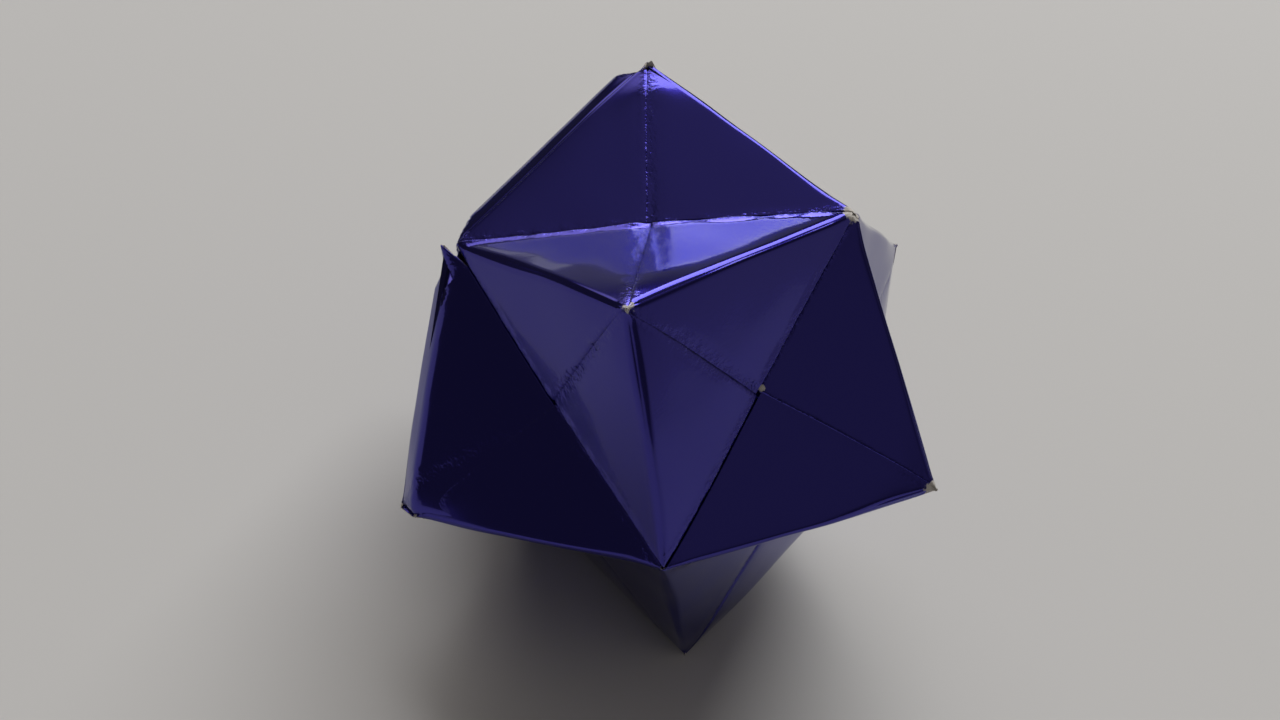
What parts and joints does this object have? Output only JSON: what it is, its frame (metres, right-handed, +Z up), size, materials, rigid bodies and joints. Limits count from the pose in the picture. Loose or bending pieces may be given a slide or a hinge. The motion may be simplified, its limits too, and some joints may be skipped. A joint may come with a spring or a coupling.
{
  "type": "kusudama paper ball",
  "caption": "Faceted decorative paper ball of folded foil-paper sheets, tabs slipped into pockets, forming pyramids on an octahedral core; rests on a table.",
  "frame": {"origin": "on the table surface, under the middle of the ball", "axes": "+Z up from the table as the ball rests in the picture; +Y along the octahedral core's one level diagonal, away from the viewer's side; +X to the right of it"},
  "size_m": [0.0666, 0.073, 0.0665],
  "materials": {
    "violet_foil_paper": "glossy deep violet-blue metallic foil laminated on thin white paper; the white paper core shows at worn tips and fold edges"
  },
  "bodies": {
    "root": {"folded_sheet_01": "violet_foil_paper", "folded_sheet_02": "violet_foil_paper", "folded_sheet_03": "violet_foil_paper", "folded_sheet_04": "violet_foil_paper", "folded_sheet_05": "violet_foil_paper", "folded_sheet_06": "violet_foil_paper", "folded_sheet_07": "violet_foil_paper", "folded_sheet_08": "violet_foil_paper", "folded_sheet_09": "violet_foil_paper", "folded_sheet_10": "violet_foil_paper", "folded_sheet_11": "violet_foil_paper", "folded_sheet_12": "violet_foil_paper"}
  },
  "joints": []
}
